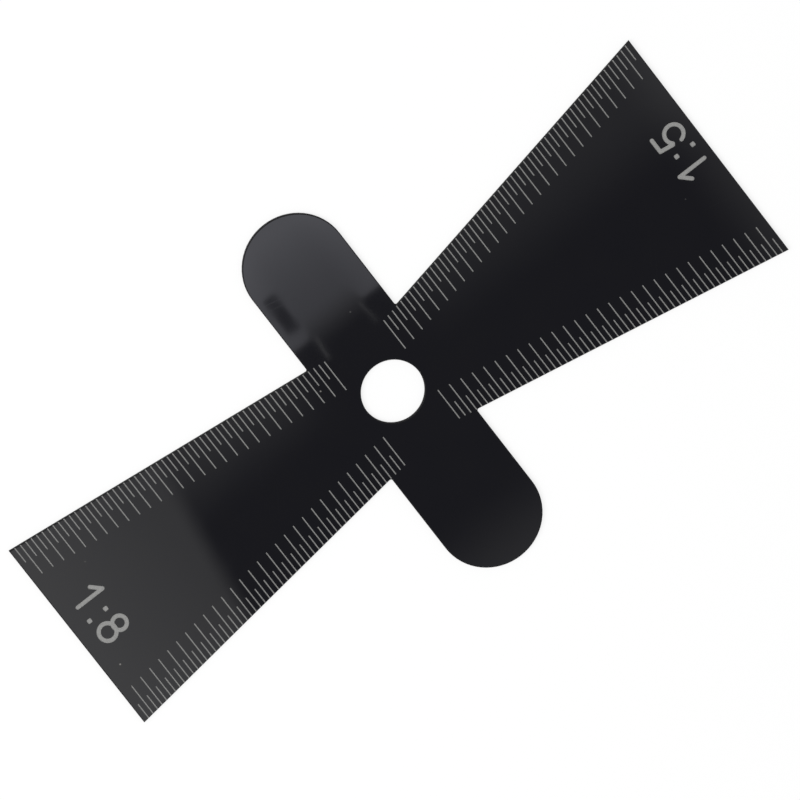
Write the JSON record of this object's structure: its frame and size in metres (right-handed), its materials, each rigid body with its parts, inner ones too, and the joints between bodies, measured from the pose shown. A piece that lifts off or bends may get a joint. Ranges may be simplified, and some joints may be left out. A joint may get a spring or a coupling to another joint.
{
  "type": "dovetail marker",
  "caption": "Flat dovetail marker: bow-tie blade with a 1:5 arm and a 1:8 arm, graduated slanted edges, a round-ended crossbar and a round centre hole.",
  "frame": {"origin": "on the underside, on the axis of the centre hole", "axes": "+X along the blade to the 1:5 end, +Y along the crossbar, +Z out of the graduated face"},
  "size_m": [0.1274, 0.07, 0.0008],
  "materials": {
    "black_coat": "gloss black coat, with the graduation and slope figures laser-marked pale grey"
  },
  "bodies": {
    "root": {"marker_plate": "black_coat"}
  },
  "joints": []
}
